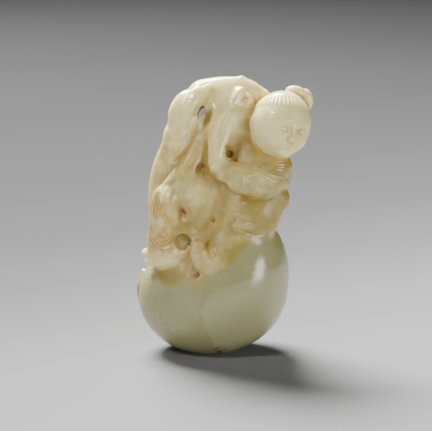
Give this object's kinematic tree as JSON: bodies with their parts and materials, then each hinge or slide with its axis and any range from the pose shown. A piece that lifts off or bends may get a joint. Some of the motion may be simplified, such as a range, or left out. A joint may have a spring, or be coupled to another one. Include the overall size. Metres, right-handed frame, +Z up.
{
  "type": "jade figure",
  "caption": "Small rounded jade carving of a child leaning over a double gourd beneath vine leaves, with drilled holes and a flat foot.",
  "frame": {"origin": "centre of the bounding box in X and Y, at the flat foot under the gourd", "axes": "+Z up along the carving's length, -Y towards the side with the child's face and the relief, +X to that side's right"},
  "size_m": [0.0352, 0.0228, 0.0559],
  "materials": {
    "jade": "polished pale greenish-cream nephrite with russet and yellow skin in the recesses"
  },
  "bodies": {
    "root": {"jade_carving": "jade"}
  },
  "joints": []
}
